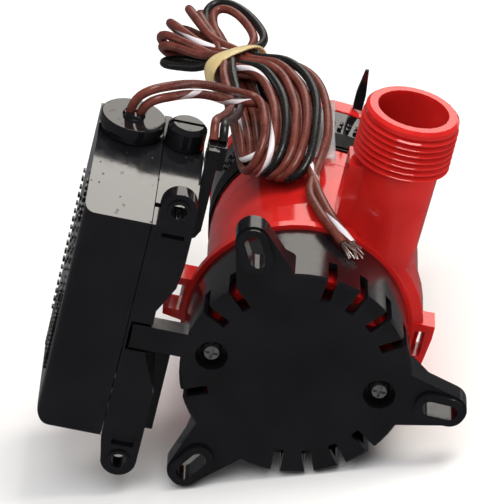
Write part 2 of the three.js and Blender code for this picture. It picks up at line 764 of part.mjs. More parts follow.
const floatX = [switchLeft + leftDraft + switchWall + floatClearance, housingRight - floatClearance];
const floatZ = [floatPivotZ - floatHeight / 2, floatPivotZ + floatHeight / 2];
const magnetSize = 6;
const floatTip = -floatPivotS + floatLength;
function floatBody() {
  const side = new THREE.Shape();
  const noseRadius = floatHeight / 2;
  side.absarc(-floatPivotS, floatPivotZ, floatPivotEar, Math.PI / 2, Math.PI * 1.5, false);
  side.lineTo(-floatPivotS + 8, floatZ[0]);
  side.absarc(floatTip - noseRadius * 0.6, floatZ[0] + noseRadius * 0.6, noseRadius * 0.6,
    -Math.PI / 2, 0, false);
  side.absarc(floatTip - noseRadius * 0.6, floatZ[1] - noseRadius * 0.6, noseRadius * 0.6,
    0, Math.PI / 2, false);
  side.lineTo(-floatPivotS + 8, floatZ[1]);
  const body = sideways(side, floatX[0], floatX[1], 5);
  const bore = rod(floatPinRadius + runGap, floatX[0] - 1, floatX[1] + 1, 14).rotateY(Math.PI / 2)
    .translate(0, -floatPivotS, floatPivotZ);
  const pocket = block([floatX[1] - magnetSize - seatGap, floatX[1] + 1],
    [floatTip - 14 - seatGap, floatTip - 14 + magnetSize + seatGap],
    [floatPivotZ - magnetSize / 2 - seatGap, floatPivotZ + magnetSize / 2 + seatGap]);
  return cut(body, bore, pocket);
}
piece("float", floatBody(), whitePlastic);
piece("float_magnet", block([floatX[1] - magnetSize, floatX[1] - seatGap],
  [floatTip - 14, floatTip - 14 + magnetSize],
  [floatPivotZ - magnetSize / 2, floatPivotZ + magnetSize / 2]), ferrite);
piece("float_pin", rod(floatPinRadius, switchLeft + leftDraft + 1, switchSeam + 1.3, 14)
  .rotateY(Math.PI / 2).translate(0, -floatPivotS, floatPivotZ), steel);

const boardZ = 36;
piece("circuit_board", block([switchLeft + leftDraft + switchWall + seatGap, housingRight - 1],
  [-switchTop + switchWall + 4, -partitionAt - switchWall - seatGap], [boardZ, boardZ + 1.6]),
greenBoard);
piece("reed_switch", rod(1.6, floatX[0] + 2, floatX[1] - 2, 12).rotateY(Math.PI / 2)
  .translate(0, -partitionAt - switchWall - 2.2, boardZ - 1.6 - seatGap), copper);

piece("lead_connector", cut(
  block([switchRight + seatGap, bracketRight + 2.4], [-bracketTop, -bracketTop + 9],
    [bracketLow + bracketThickness + seatGap, bracketLow + bracketThickness + 7]),
  block([switchRight - 1, bracketRight + 3.4], [-bracketTop + 3.4, -bracketTop + 4.4],
    [bracketLow + bracketThickness + 5.6, bracketLow + bracketThickness + 8]),
), glossBlack);

// ------------------------------------------------------------------------------- laying it down
// The rim and one ear touch the ground along one direction in the foot's plane, and the machine
// tips back until the rear cap's rim touches too.
const groundAngle = earAngles[1]
  - Math.acos((strainerRadius - earEndRadius) / earTipRadius) / radians;
const capReach = capRadius + motorX * Math.cos(groundAngle * radians);
const tip = Math.atan2(strainerRadius - capReach, capBottom + capThickness - rimChamfer);
machine.rotation.z = Math.PI / 2 - groundAngle * radians;
const laid = new THREE.Group();
laid.rotation.x = -(Math.PI / 2 + tip);
laid.add(machine);
const pump = new THREE.Group();
pump.add(laid);

// The origin is the middle of the machine's box, on the ground.
pump.updateMatrixWorld(true);
const box = new THREE.Box3().setFromObject(pump, true);
laid.position.set(-(box.min.x + box.max.x) / 2, -(box.min.y + box.max.y) / 2, -box.min.z);
pump.updateMatrixWorld(true);

// ------------------------------------------------------------------------------- hank of leads
// The spare lead is doubled up and held by a rubber band. It lies along the top of the motor.
const hank = new THREE.Group();
pump.add(hank);

const heading = (90 + waistHeading) * radians;
const forward = [Math.cos(heading), -Math.sin(heading)];
const across = [Math.sin(heading), Math.cos(heading)];
const atWaist = (side, ahead) => [
  waistCentre[0] + across[0] * side + forward[0] * ahead,
  waistCentre[1] + across[1] * side + forward[1] * ahead,
];
const neckEnd = bandHalf + 0.6;

piece("hank_front", extrude(outline([
  atWaist(-waistHalf, -neckEnd),
  atWaist(-waistHalf, neckEnd),
  [-8, 58],
  [-4.9, 40],
  [-3.6, 27],
  [-1.5, 16.4],
  [2, 8.6],
  [5.6, 3.6],
  [10.6, -4.6],
  [14, -9.4],
  [17.1, -11.1],
  [21, -8.8],
  [25, -5],
  [29, 1.2],
  [30.4, 10],
  [30.6, 22],
  [30, 33],
  [27.6, 45],
  [24, 56],
  [19.5, 66],
  [13.5, 74],
  atWaist(waistHalf, neckEnd),
  atWaist(waistHalf, -neckEnd),
]), hankLow, hankHigh), brownWire, hank);

piece("hank_rear", extrude(outline([
  atWaist(-waistHalf, -neckEnd - seatGap),
  atWaist(1, -neckEnd - seatGap),
  [-9, 98],
  [-12.6, 112],
  [-15.5, 117.5],
  [-20.5, 122],
  [-26.5, 124],
  [-31, 120.5],
  [-33.4, 113],
  [-34.4, 103],
  [-33.6, 94],
  [-30.4, 86.4],
  [-23, 82.6],
]), fanLow, hankHigh), brownWire, hank);

const loop = outline([
  atWaist(1.5, -neckEnd - seatGap),
  atWaist(waistHalf, -neckEnd - seatGap),
  [6, 91],
  [6.6, 98],
  [4.4, 105],
  [0.4, 111],
  [-4.6, 114.4],
  [-9, 113.6],
  [-11.3, 110],
  [-8.4, 98.4],
]);
loop.holes.push(outline([[-2.8, 91], [-5.4, 97], [-7, 104], [-5, 108.6], [-0.6, 105], [1.8, 98], [1, 92.6]]));
piece("hank_loop", extrude(loop, loopLow, hankHigh), blackWire, hank);

function rubberBand() {
  const half = waistHalf + bandGap;
  const middle = (hankLow + hankHigh) / 2;
  const rise = (hankHigh - hankLow) / 2 + bandGap;
  const corner = 3.2;
  const [outX, outZ] = [half + bandWall, rise + bandWall];
  const shape = new THREE.Shape();
  shape.absarc(outX - corner, outZ - corner, corner, 0, Math.PI / 2, false);
  shape.absarc(-outX + corner, outZ - corner, corner, Math.PI / 2, Math.PI, false);
  shape.absarc(-outX + corner, -outZ + corner, corner, Math.PI, Math.PI * 1.5, false);
  shape.absarc(outX - corner, -outZ + corner, corner, Math.PI * 1.5, Math.PI * 2, false);
  shape.holes.push(outline([[-half, -rise], [-half, rise], [half, rise], [half, -rise]]));
  return extrude(shape, -bandHalf, bandHalf, 5).rotateX(Math.PI / 2)
    .rotateZ(Math.PI / 2 - heading).translate(waistCentre[0], waistCentre[1], middle);
}
piece("rubber_band", rubberBand(), bandRubber, hank);

// A blank slip of film under the hank, resting on the motor's shoulder.
piece("label_tag", new THREE.BoxGeometry(...tagSize).rotateY(18 * radians)
  .translate(28.8, 35, 73.55), paper, hank);

// Each lead is a plain tube through hand-placed points.
function lead(name, points, material, radius = leadDiameter / 2) {
  const path = new THREE.CatmullRomCurve3(points.map(([x, y, z]) => new THREE.Vector3(x, y, z)));
  const steps = Math.min(80, Math.ceil(path.getLength() / (radius * 4)) + 4);
  const section = outline(Array.from({ length: 8 }, (_, corner) => [
    radius * Math.cos((corner * Math.PI) / 4),
    radius * Math.sin((corner * Math.PI) / 4),
  ]));
  piece(name, new THREE.ExtrudeGeometry(section, { steps, extrudePath: path, bevelEnabled: false }),
    material, hank);
}

lead("switch_lead_a", [
  [-33.57, -29.96, 124.54], [-32.58, -29.95, 127.37], [-31.6, -29.9, 130.2], [-29.2, -29.9, 133],
  [-25, -29.2, 133.9], [-20, -25.5, 132.4], [-13.7, -11.5, 124.8], [-8.7, 11.5, 110.7],
  [-3.1, 28, 98.7], [-0.4, 35.4, 93.2], [1.2, 39.4, 90.3],
], brownWire);
lead("switch_lead_b", [
  [-30.46, -29.96, 123.45], [-29.47, -29.95, 126.28], [-28.5, -30.1, 128.8], [-25.6, -30.5, 130.6],
  [-20.8, -27.6, 129.4], [-14, -13.2, 121.9], [-9, 9.6, 107.9], [-4.6, 24.4, 96.6],
  [-3, 29.8, 92.6], [-2.2, 32.6, 90.3],
], brownWire);
lead("link_lead_a", [
  [-5.57, -38.6, 117.6], [-4.7, -38.3, 120.1], [-4.9, -35.4, 122.6], [-5.4, -29, 122.6],
  [-5.2, -17, 117], [-4.2, 0, 107.2], [-1, 13.4, 97], [1, 20.4, 90.4],
], brownWire);
lead("link_lead_b", [
  [-2.55, -38.6, 116.55], [-1.7, -38.1, 119.1], [-1.6, -34.8, 121.6], [-2, -28.6, 121.2],
  [-1.9, -16.6, 115.2], [-0.9, 0.6, 105.2], [2.2, 10.4, 96.4], [4.2, 16.4, 90.4],
], greyWire);
lead("motor_lead_a", [
  [27.35, 67.7, 34], [27.3, 71, 34.3], [25.5, 76.5, 39], [20, 79, 50],
  [12, 77.5, 62], [6.4, 72.6, 70], [5.4, 71.4, 74.9],
], brownWire);
lead("motor_lead_b", [
  [30.3, 67.7, 33], [30.4, 71.4, 33.4], [29, 77.4, 38.6], [23.6, 80, 50.6],
  [15.4, 78.4, 62.6], [9.8, 73, 70], [8.8, 71.2, 74.9],
], blackWire);
lead("tail_lead_a", [
  [21.2, -10.6, 78.4], [23, -17, 78.2], [25.6, -27.5, 78.9], [29, -35.5, 77.7], [32.6, -41.5, 74.9],
], brownWire, 1.2);
lead("tail_lead_b", [
  [24.1, -9.2, 78.2], [25.8, -16, 77.8], [28.4, -26.4, 78.1], [31.9, -34.5, 76.8], [35.4, -40.4, 73.9],
], paper, 1.2);

export default pump;
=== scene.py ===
# %% [markdown]
# # A submersible bilge pump with its float switch
# The pump lies on its side on a pale floor, with its leads gathered in a hank on top. The machine's
# solids come in as a fixed frame, in metres, and this script gives them their edges, their leads and
# their finishes. Nothing here moves a solid: each new piece is made where the frame says.

# %% Load the frame
import math
import random

import bpy
import bmesh
from mathutils import Matrix, Vector


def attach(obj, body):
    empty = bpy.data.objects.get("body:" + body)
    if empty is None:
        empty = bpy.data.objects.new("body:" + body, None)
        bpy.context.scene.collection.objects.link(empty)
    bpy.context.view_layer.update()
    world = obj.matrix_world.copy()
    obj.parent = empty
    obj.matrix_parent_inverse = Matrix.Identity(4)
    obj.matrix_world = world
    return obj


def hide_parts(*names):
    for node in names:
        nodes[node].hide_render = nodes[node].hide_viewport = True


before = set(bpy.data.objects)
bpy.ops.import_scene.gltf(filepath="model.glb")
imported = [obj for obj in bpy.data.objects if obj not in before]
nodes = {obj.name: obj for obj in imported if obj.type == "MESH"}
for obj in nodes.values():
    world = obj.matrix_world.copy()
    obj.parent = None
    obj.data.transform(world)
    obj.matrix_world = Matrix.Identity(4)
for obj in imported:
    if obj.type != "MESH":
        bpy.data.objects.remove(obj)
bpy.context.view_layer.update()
MM = 0.001

# %% [markdown]
# ## The camera
# A long lens from two metres away keeps the base round and the sides nearly parallel. The camera is
# placed first, because the leads are judged by what it sees.

# %% Camera
VIEW_AZIMUTH = math.radians(5.13)
VIEW_ELEVATION = math.radians(30.39)
VIEW_ROLL = math.radians(-8.19)
VIEW_DISTANCE = 2.0
AIM = Vector((0.00227, -0.04461, 0.07689))
LENS_MM = 427.4
SENSOR_MM = 36

towards_camera = Vector((
    math.sin(VIEW_AZIMUTH) * math.cos(VIEW_ELEVATION),
    -math.cos(VIEW_AZIMUTH) * math.cos(VIEW_ELEVATION),
    math.sin(VIEW_ELEVATION),
))
camera_data = bpy.data.cameras.new("camera")
camera_data.lens = LENS_MM
camera_data.sensor_width = SENSOR_MM
camera_data.clip_end = 20
camera = bpy.data.objects.new("camera", camera_data)
bpy.context.scene.collection.objects.link(camera)
level = (-towards_camera).to_track_quat("-Z", "Y").to_matrix()
camera.rotation_mode = "QUATERNION"
camera.rotation_quaternion = (level @ Matrix.Rotation(VIEW_ROLL, 3, "Z")).to_quaternion()
camera.location = AIM + towards_camera * VIEW_DISTANCE
bpy.context.scene.camera = camera
print("camera at", [round(x, 3) for x in camera.location])

# %% [markdown]
# ## Small helpers
# An operator acts on all that is selected, so every step starts from an empty selection. A finished
# piece rides on a body of the machine and takes one of the finishes made below.


# %% Helpers
def only(piece):
    """Select one piece, and nothing else."""
    bpy.ops.object.select_all(action="DESELECT")
    piece.select_set(True)
    bpy.context.view_layer.objects.active = piece
    return piece


def finished(piece, material, body="pump"):
    """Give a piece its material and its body."""
    piece.data.materials.clear()
    piece.data.materials.append(material)
    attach(piece, body)
    return piece


def settle(piece):
    """Bring a piece's place into its mesh, so that its object sits at the origin."""
    only(piece)
    bpy.ops.object.transform_apply(location=True, rotation=True, scale=True)
    return piece


# %% [markdown]
# ## Materials
# Most finishes are built from a few nodes on Object coordinates, so grain and mottle have their real
# size. A material starts from one function that makes a shader, a noise for the colour, and a bump.
# Only the printed stripe on a lead reads the lead's own map instead.


# %% The material kit
def shader(name, color, roughness, metallic=0.0, coat=0.0, specular=0.5):
    """A new material with one Principled shader; returns it with its nodes and links."""
    material = bpy.data.materials.new(name)
    material.use_nodes = True
    tree = material.node_tree
    principled = tree.nodes["Principled BSDF"]
    principled.inputs["Base Color"].default_value = (*color, 1)
    principled.inputs["Roughness"].default_value = roughness
    principled.inputs["Metallic"].default_value = metallic
    principled.inputs["Coat Weight"].default_value = coat
    principled.inputs["Coat Roughness"].default_value = 0.08
    principled.inputs["Specular IOR Level"].default_value = specular
    return material, tree, principled


def noise(tree, scale, detail=4.0, source=None):
    """A noise texture on Object coordinates, or on another socket."""
    texture = tree.nodes.new("ShaderNodeTexNoise")
    texture.inputs["Scale"].default_value = scale
    texture.inputs["Detail"].default_value = detail
    if source is None:
        source = tree.nodes.new("ShaderNodeTexCoord").outputs["Object"]
    tree.links.new(source, texture.inputs["Vector"])
    return texture.outputs["Fac"]


def ramp(tree, factor, stops):
    """A colour ramp between stops of (position, colour)."""
    node = tree.nodes.new("ShaderNodeValToRGB")
    while len(node.color_ramp.elements) < len(stops):
        node.color_ramp.elements.new(0.5)
    for element, (position, color) in zip(node.color_ramp.elements, stops):
        element.position = position
        element.color = (*color, 1)
    tree.links.new(factor, node.inputs["Fac"])
    return node.outputs["Color"]


def grey(value):
    return (value, value, value)


def bump(tree, principled, height, strength, distance):
    """Feed a height into the shader's normal."""
    node = tree.nodes.new("ShaderNodeBump")
    node.inputs["Strength"].default_value = strength
    node.inputs["Distance"].default_value = distance
    tree.links.new(height, node.inputs["Height"])
    tree.links.new(node.outputs["Normal"], principled.inputs["Normal"])


def plastic(name, dark, light, rough, grain, grain_depth, coat=0.0, mottle=60.0, specular=0.5):
    """Moulded plastic: a slow mottle in colour and gloss, and a fine grain in relief."""
    material, tree, principled = shader(name, light, rough[0], coat=coat, specular=specular)
    slow = noise(tree, mottle, 3)
    tree.links.new(ramp(tree, slow, [(0.35, dark), (0.65, light)]), principled.inputs["Base Color"])
    wear = ramp(tree, noise(tree, mottle * 6, 5), [(0.3, grey(rough[0])), (0.7, grey(rough[1]))])
    tree.links.new(wear, principled.inputs["Roughness"])
    bump(tree, principled, noise(tree, grain, 2), 0.6, grain_depth)
    return material


def spotted(material, scale, share, depth):
    """Dried drops on a glossy face: small round rings in relief."""
    tree = material.node_tree
    principled = tree.nodes["Principled BSDF"]
    cells = tree.nodes.new("ShaderNodeTexVoronoi")
    cells.inputs["Scale"].default_value = scale
    tree.links.new(tree.nodes.new("ShaderNodeTexCoord").outputs["Object"], cells.inputs["Vector"])
    drops = ramp(tree, cells.outputs["Distance"], [(share * 0.7, grey(1)), (share, grey(0))])
    node = tree.nodes.new("ShaderNodeBump")
    node.inputs["Strength"].default_value = 0.7
    node.inputs["Distance"].default_value = depth
    tree.links.new(drops, node.inputs["Height"])
    earlier = principled.inputs["Normal"].links[0].from_socket
    tree.links.new(earlier, node.inputs["Normal"])
    tree.links.new(node.outputs["Normal"], principled.inputs["Normal"])


def metal(name, color, rough, brushed):
    """Bare metal with a fine directional or cast texture."""
    material, tree, principled = shader(name, color, rough, metallic=1.0)
    lines = noise(tree, brushed, 3)
    tree.links.new(ramp(tree, lines, [(0.3, grey(rough * 0.7)), (0.7, grey(rough * 1.5))]),
                   principled.inputs["Roughness"])
    bump(tree, principled, lines, 0.3, 0.00002)
    return material


# %% [markdown]
# ### One finish for each stuff
# The strainer, switch and collar are black plastic, and the housing is red plastic. A flat colour
# would look like paint, so each has its own mottle and gloss. A little light is let into the red,
# because thick red plastic glows at its edges. Round marks of dried drops lie on the glossy faces.

# %% The finishes
finishes = {
    "black_plastic": plastic("black_plastic", (0.0045, 0.0045, 0.0055), (0.0075, 0.0072, 0.0088),
                             (0.15, 0.24), 900, 0.00002, specular=0.45),
    "gloss_black": plastic("gloss_black", (0.0045, 0.0045, 0.0055), (0.007, 0.0068, 0.0082),
                           (0.06, 0.11), 260, 0.00001, coat=0.1, specular=0.5),
    "red_plastic": plastic("red_plastic", (0.54, 0.014, 0.012), (0.66, 0.023, 0.019), (0.08, 0.15),
                           260, 0.000006, coat=0.05, specular=0.5),
    "stainless": metal("stainless", (0.62, 0.61, 0.60), 0.28, 900),
    "copper": metal("copper", (0.75, 0.36, 0.20), 0.35, 700),
    "bronze": metal("bronze", (0.62, 0.44, 0.20), 0.4, 1500),
    "ferrite": plastic("ferrite", grey(0.03), grey(0.05), (0.5, 0.7), 1800, 0.00004),
    "seal_rubber": plastic("seal_rubber", grey(0.012), grey(0.02), (0.55, 0.75), 1500, 0.00004),
    "white_plastic": plastic("white_plastic", (0.74, 0.73, 0.70), (0.82, 0.81, 0.79), (0.3, 0.42),
                             900, 0.00003),
    "board": plastic("board", (0.02, 0.13, 0.05), (0.03, 0.17, 0.07), (0.3, 0.45), 700, 0.00003),
}
red = finishes["red_plastic"].node_tree.nodes["Principled BSDF"]
red.inputs["Subsurface Weight"].default_value = 0.35
red.inputs["Subsurface Radius"].default_value = (1.0, 0.18, 0.1)
red.inputs["Subsurface Scale"].default_value = 0.004
spotted(finishes["gloss_black"], 330, 0.16, 0.00012)
spotted(finishes["red_plastic"], 240, 0.10, 0.00008)
print(sorted(finishes))


# %% [markdown]
# ### Insulation
# The leads are PVC. Each is a tube whose own map runs along its length and round its girth, so a
# printed stripe can follow it as it twists.


# %% Insulation material
def insulation(name, dark, light, stripe=None, stripe_share=0.22, twist=0.0, rough=0.22):
    """PVC on a lead: mottled colour, soft gloss, and a stripe that winds round it."""
    material, tree, principled = shader(name, light, rough, coat=0.1, specular=0.32)
    uv = tree.nodes.new("ShaderNodeTexCoord").outputs["UV"]
    mottled = ramp(tree, noise(tree, 260, 4), [(0.3, dark), (0.72, light)])
    if stripe is None:
        tree.links.new(mottled, principled.inputs["Base Color"])
    else:
        split = tree.nodes.new("ShaderNodeSeparateXYZ")
        tree.links.new(uv, split.inputs[0])
        turned = tree.nodes.new("ShaderNodeMath")
        turned.operation = "MULTIPLY_ADD"
        tree.links.new(split.outputs["X"], turned.inputs[0])
        turned.inputs[1].default_value = twist
        tree.links.new(split.outputs["Y"], turned.inputs[2])
        wrapped = tree.nodes.new("ShaderNodeMath")
        wrapped.operation = "FRACT"
        tree.links.new(turned.outputs[0], wrapped.inputs[0])
        mask = ramp(tree, wrapped.outputs[0], [(0.0, grey(1)), (stripe_share, grey(1)),
                                               (stripe_share + 0.015, grey(0)), (1.0, grey(0))])
        mix = tree.nodes.new("ShaderNodeMix")
        mix.data_type = "RGBA"
        tree.links.new(mask, mix.inputs[0])
        tree.links.new(mottled, mix.inputs[6])
        mix.inputs[7].default_value = (*stripe, 1)
        tree.links.new(mix.outputs[2], principled.inputs["Base Color"])
    scuffs = ramp(tree, noise(tree, 900, 5), [(0.35, grey(rough)), (0.75, grey(rough + 0.25))])
    tree.links.new(scuffs, principled.inputs["Roughness"])
    bump(tree, principled, noise(tree, 700, 3), 0.5, 0.00004)
    return material


BROWN_DARK = (0.090, 0.020, 0.014)
BROWN_LIGHT = (0.165, 0.043, 0.031)
lead_finishes = {
    "brown": insulation("brown_insulation", BROWN_DARK, BROWN_LIGHT),
    "striped": insulation("striped_insulation", BROWN_DARK, BROWN_LIGHT, stripe=(0.72, 0.68, 0.72),
                          twist=14.0),
    "black": insulation("black_insulation", grey(0.004), grey(0.009)),
}
print(sorted(lead_finishes))

# %% [markdown]
# ## The leads
# Four leads, each between 0.6 and 0.9 m long, are folded to and fro and held by a band. Each is one
# curve: out of its gland, along to the waist of the hank, then turn after turn through the waist. A
# turn goes forward on top, falls round the near end and comes back underneath. A fold goes back
# underneath, rises at the tip of the fan and comes forward on top. The routes are laid out one by
# one, with nothing that parts the strands, so where they crowd they run into each other, and some
# folds are tighter than such a lead would take.

# %% The hank's layout
WIRE = 3.1 * MM
WAIST = Vector((-4.2, 71.5, 83.0)) * MM
HEADING = math.radians(64.5)
FORWARD = Vector((math.cos(HEADING), -math.sin(HEADING), 0))
ACROSS = Vector((math.sin(HEADING), math.cos(HEADING), 0))
UP = Vector((0, 0, 1))
COLUMN_STEP, ROW_STEP = 2.95 * MM, 2.95 * MM
MIDDLE_COLUMN, MIDDLE_ROW = 2.5, 1.5
jitter = random.Random(11)
print("waist of the hank at", [round(x, 4) for x in WAIST])


def metres(points):
    return [Vector(p) * MM for p in points]


def between(low, high, share):
    return low + (high - low) * share


def blend_points(first, second, share):
    return [a.lerp(b, share) for a, b in zip(first, second)]


def waist_slot(column, row, ahead=0.0):
    """A place among the strands under the band: columns from the left, rows from below."""
    crowd = 1 - 0.12 * abs(row - MIDDLE_ROW)
    return (WAIST + ACROSS * (column - MIDDLE_COLUMN) * COLUMN_STEP * crowd
            + UP * (row - MIDDLE_ROW) * ROW_STEP + FORWARD * ahead)


# %% [markdown]
# The coil is six turns side by side, from the far right to the left, in an outer and an inner
# layer. Only the two outermost turns are written down, and the others lie between them.

# %% The turns of the coil
OUT_RIGHT = metres([(13.3, 63.6, 89.6), (19.6, 54.6, 89.0), (23.6, 43.5, 88.0), (24.9, 31.5, 86.6),
                    (24.4, 19.0, 84.8), (22.4, 8.0, 82.6)])
OUT_LEFT = metres([(0.2, 55.0, 90.6), (3.6, 45.0, 91.0), (5.6, 35.5, 90.8), (6.9, 26.0, 90.0),
                   (7.4, 17.5, 88.6), (6.6, 10.0, 86.6)])
TURN_RIGHT = metres([(19.6, 0.2, 80.2), (15.8, -3.0, 78.2), (12.0, 0.4, 77.6)])
TURN_LEFT = metres([(4.4, 4.8, 83.8), (1.2, 3.0, 80.6), (-1.4, 6.4, 78.2)])
BACK_RIGHT = metres([(10.4, 12.0, 77.5), (10.2, 27.0, 77.5), (9.2, 43.0, 77.6), (5.6, 57.5, 78.0)])
BACK_LEFT = metres([(-2.6, 17.0, 77.5), (-4.0, 30.0, 77.5), (-5.4, 43.0, 77.6), (-7.6, 56.0, 78.4)])


def front_turn(number, inner):
    """One turn of the near end, out on top and back underneath."""
    share = number / 5
    out = blend_points(OUT_RIGHT, OUT_LEFT, share)
    turn = blend_points(TURN_RIGHT, TURN_LEFT, share)
    back = blend_points(BACK_RIGHT, BACK_LEFT, share)
    if inner:
        out = [p + Vector((0.0016 if number else 0.0034, 0.0008, -0.0030)) for p in out]
        turn = [turn[0] + Vector((0.001, 0.005, -0.001)), turn[1] + Vector((0, 0.0046, 0.0026)),
                turn[2] + Vector((0, 0.003, 0.003))]
        back = [p + Vector((0.0012, 0, 0.0030)) for p in back]
    points = out + turn + back
    for point in points:
        point.x += jitter.uniform(-0.35, 0.35) * MM
        point.z += jitter.uniform(-0.15, 0.15) * MM
    return points


# %% [markdown]
# Behind the band the folds spread as a fan, and two larger loops stand up above it. Each finger of
# the fan is a heading from the waist, a reach, a lean of its loop, and a rise.

# %% The fan and the upright loops
FOLD_HALF_WIDTH = 4.5 * MM
FOLD_LEG = [(0.38, 0.72), (0.62, 0.9), (0.82, 1.04)]
FOLD_TIP_ANGLES = (0.9, 1.5708, 2.24)
FINGERS = [
    (-16, 34, 60, 4.5), (-9, 37, 35, 5.0), (-2, 44, 66, 4.0), (27, 34, 14, -5.0), (9, 44, 58, 1.5),
    (18, 42, 72, -1.0), (-12, 33, 80, 2.5), (-4, 36, 40, 2.0), (-7, 40, 55, 3.0), (5, 40, 30, 0.0),
    (22, 38, 60, -2.5), (13, 38, 40, -2.5),
]


def fan_fold(number):
    """One fold of the fan, back underneath and forward on top."""
    heading, reach, lean, rise = FINGERS[number]
    turn = math.radians(heading)
    out = -FORWARD * math.cos(turn) - ACROSS * math.sin(turn)
    side = Vector((-out.y, out.x, 0))
    lean = math.radians(lean)
    spread = (UP * math.sin(lean) + side * math.cos(lean)).normalized()
    half = FOLD_HALF_WIDTH
    reach *= MM
    legs = []
    for sign in (-1, 1):
        leg = [WAIST + out * reach * along + spread * half * sign * wide + UP * rise * MM * along
               for along, wide in FOLD_LEG]
        legs.append(leg if sign < 0 else leg[::-1])
    tip = [WAIST + out * (reach * 0.88 + half * 1.1 * math.sin(angle)) + UP * rise * MM
           - spread * half * math.cos(angle) for angle in FOLD_TIP_ANGLES]
    return legs[0] + tip + legs[1]


def upright_loop(half, length, shift):
    """A larger loop behind the band, that rises on the left and comes forward on the right."""
    centre = Vector((-4.6 + shift, 91.0, 86.6)) * MM
    half, length = half * MM, length * MM
    points = [centre + Vector((-0.0022, -0.0105, -0.0035))]
    for step in range(9):
        angle = math.pi * (1.04 - 1.12 * step / 8)
        across, along = half * math.cos(angle), length * math.sin(angle)
        points.append(centre + Vector((across - 0.34 * along, along, 0.003 * math.sin(angle))))
    points.append(centre + Vector((half * 0.9, -0.0105, -0.001)))
    return points


# Half width, length and shift to the right, in millimetres, of the loops that stand up.
UPRIGHT = {0: (9.0, 20.5, 0.4), 1: (6.2, 16.5, -0.2)}


def turns(numbers, first="front"):
    """A lead's way through the hank; each number is a turn, and 6 and over lie inside."""
    points = []
    for count, number in enumerate(numbers):
        column, inner = 5 - number % 6, number >= 6
        top, low = (2, 1) if inner else (3, 0)
        if count or first == "waist":
            points += [waist_slot(column, top, -0.004), waist_slot(column, top, 0.004)]
            points += front_turn(number % 6, inner)
        else:
            points += front_turn(number % 6, inner)[2:]
        points += [waist_slot(column, low, 0.004), waist_slot(column, low, -0.004)]
        if number in UPRIGHT:
            points += upright_loop(*UPRIGHT[number])
        else:
            points += fan_fold(number)
    return points


# %% [markdown]
# A lead's points are few, so a smooth curve is drawn through them and sampled every two
# millimetres. The samples make a curve with a round section, which is then made a mesh so that its
# map along and around stays with it.


# %% From points to a lead
def smooth(points, step=0.002, rounds=0):
    """Samples a Catmull-Rom curve through the points, evenly spaced."""
    ends = [points[0] * 2 - points[1], *points, points[-1] * 2 - points[-2]]
    dense = []
    for a, b, c, d in zip(ends, ends[1:], ends[2:], ends[3:]):
        for part in range(12):
            t = part / 12
            dense.append(0.5 * (2 * b + (c - a) * t + (2 * a - 5 * b + 4 * c - d) * t * t
                                + (3 * b - a - 3 * c + d) * t ** 3))
    dense.append(points[-1])
    for _ in range(3):
        dense[1:-1] = [(a + 2 * b + c) / 4 for a, b, c in zip(dense, dense[1:], dense[2:])]
    even, left = [dense[0]], step
    for a, b in zip(dense, dense[1:]):
        length = (b - a).length
        while left <= length:
            even.append(a.lerp(b, left / length))
            left += step
        left -= length
    even[-1] = dense[-1]
    for _ in range(rounds):
        even[1:-1] = [(a + 2 * b + c) / 4 for a, b, c in zip(even, even[1:], even[2:])]
    return even


def tube(name, path, diameter):
    """A round tube along a path, as a mesh."""
    curve = bpy.data.curves.new(name, "CURVE")
    curve.dimensions = "3D"
    curve.bevel_depth = diameter / 2
    curve.bevel_resolution = 3
    curve.use_fill_caps = True
    curve.twist_mode = "MINIMUM"
    spline = curve.splines.new("POLY")
    spline.points.add(len(path) - 1)
    for place, point in zip(path, spline.points):
        point.co = (*place, 1)
    piece = bpy.data.objects.new(name, curve)
    bpy.context.scene.collection.objects.link(piece)
    only(piece)
    bpy.ops.object.convert(target="MESH")
    piece = bpy.context.object
    bpy.ops.object.shade_smooth()
    return piece


LEAD_ROUNDS = 8


def lead(name, points, finish, replaced=(), diameter=WIRE):
    """One lead: its tube and its finish, with the solids it stands for hidden."""
    path = smooth(points, rounds=LEAD_ROUNDS)
    piece = finished(tube(name, path, diameter), lead_finishes[finish])
    if replaced:
        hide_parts(*replaced)
    return piece


# %% [markdown]
# Outside the hank each lead follows its solid in the machine, point by point, in millimetres. The
# switch's two leads rise from its cap and run to the coil, the motor's two leave the rear cap and
# later run on to the connector, and two tails leave the coil on the right.

# %% The ways in and out of the hank
SWITCH_A = metres([
    (-33.57, -29.96, 124.54), (-32.58, -29.95, 127.37), (-31.6, -29.9, 130.2), (-29.2, -29.9, 133),
    (-25, -29.2, 133.9), (-20, -25.5, 132.4), (-13.7, -11.5, 124.8), (-8.7, 11.5, 110.7),
    (-3.1, 28, 98.7), (-0.4, 35.4, 93.2), (1.2, 39.4, 90.3),
])
SWITCH_B = metres([
    (-30.46, -29.96, 123.45), (-29.47, -29.95, 126.28), (-28.5, -30.1, 128.8), (-25.6, -30.5, 130.6),
    (-20.8, -27.6, 129.4), (-14, -13.2, 121.9), (-9, 9.6, 107.9), (-4.6, 24.4, 96.6),
    (-3, 29.8, 92.6), (-2.2, 32.6, 90.3),
])
LINK_A = metres([
    (-8.2, 62, 89.2), (-6.6, 50, 89.6), (-5.0, 38, 90.2), (-4.2, 26, 93.6), (-4.0, 12, 99.6),
    (-4.2, -8, 109.2), (-4.5, -24, 117.4), (-4.7, -32, 121.3), (-4.8, -36.6, 121.9),
    (-4.8, -38.3, 120.1), (-5.57, -38.6, 117.6),
])
LINK_B = metres([
    (-5.2, 62, 89.4), (-3.6, 50, 89.2), (-2.0, 38, 89.6), (-1.2, 26, 92.4), (-1.0, 12, 98.2),
    (-1.2, -8, 107.6), (-1.5, -24, 115.8), (-1.7, -31.5, 119.9), (-1.75, -36.2, 120.8),
    (-1.8, -38.1, 119.1), (-2.55, -38.6, 116.55),
])
